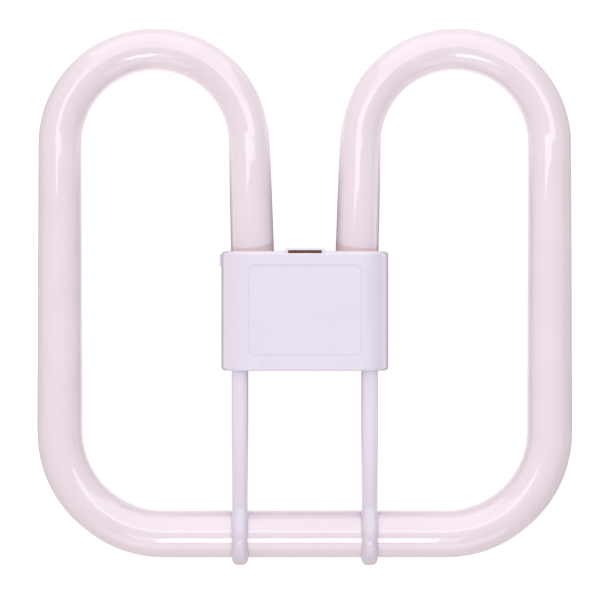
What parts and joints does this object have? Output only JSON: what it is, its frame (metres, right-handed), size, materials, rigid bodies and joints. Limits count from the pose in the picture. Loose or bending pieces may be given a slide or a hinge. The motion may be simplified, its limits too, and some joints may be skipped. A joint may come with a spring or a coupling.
{
  "type": "square compact fluorescent lamp",
  "caption": "Flat square compact fluorescent lamp: a bent opal glass tube with arched ends in a moulded cap, braced by arms to the far limb.",
  "frame": {"origin": "centre of the cap's rear seating face, on the plane the lamp lies on", "axes": "+X across the lamp to the right seen from the front, +Y from the bottom limb towards the arches, +Z out of the front of the cap"},
  "size_m": [0.2058, 0.2065, 0.028],
  "materials": {
    "coated_glass": "gloss glass, opal from the white powder coat inside",
    "cap_plastic": "satin moulded, lilac white",
    "phenolic_board": "laminated board, brown",
    "pin_brass": "turned, satin",
    "wire_nickel": "drawn",
    "sleeve_fibre": "braided glass fibre",
    "bond_silicone": "cured sealant"
  },
  "bodies": {
    "root": {"contact_pin_1": "pin_brass", "contact_pin_2": "pin_brass", "contact_pin_3": "pin_brass", "contact_pin_4": "pin_brass", "discharge_tube": "coated_glass", "front_cover": "cap_plastic", "insulating_board": "phenolic_board", "lead_wire_1": "wire_nickel", "lead_wire_2": "wire_nickel", "lead_wire_3": "wire_nickel", "lead_wire_4": "wire_nickel", "rear_housing": "cap_plastic", "tube_bond_left": "bond_silicone", "tube_bond_right": "bond_silicone", "wire_sleeve_1": "sleeve_fibre", "wire_sleeve_2": "sleeve_fibre", "wire_sleeve_3": "sleeve_fibre", "wire_sleeve_4": "sleeve_fibre"}
  },
  "joints": []
}
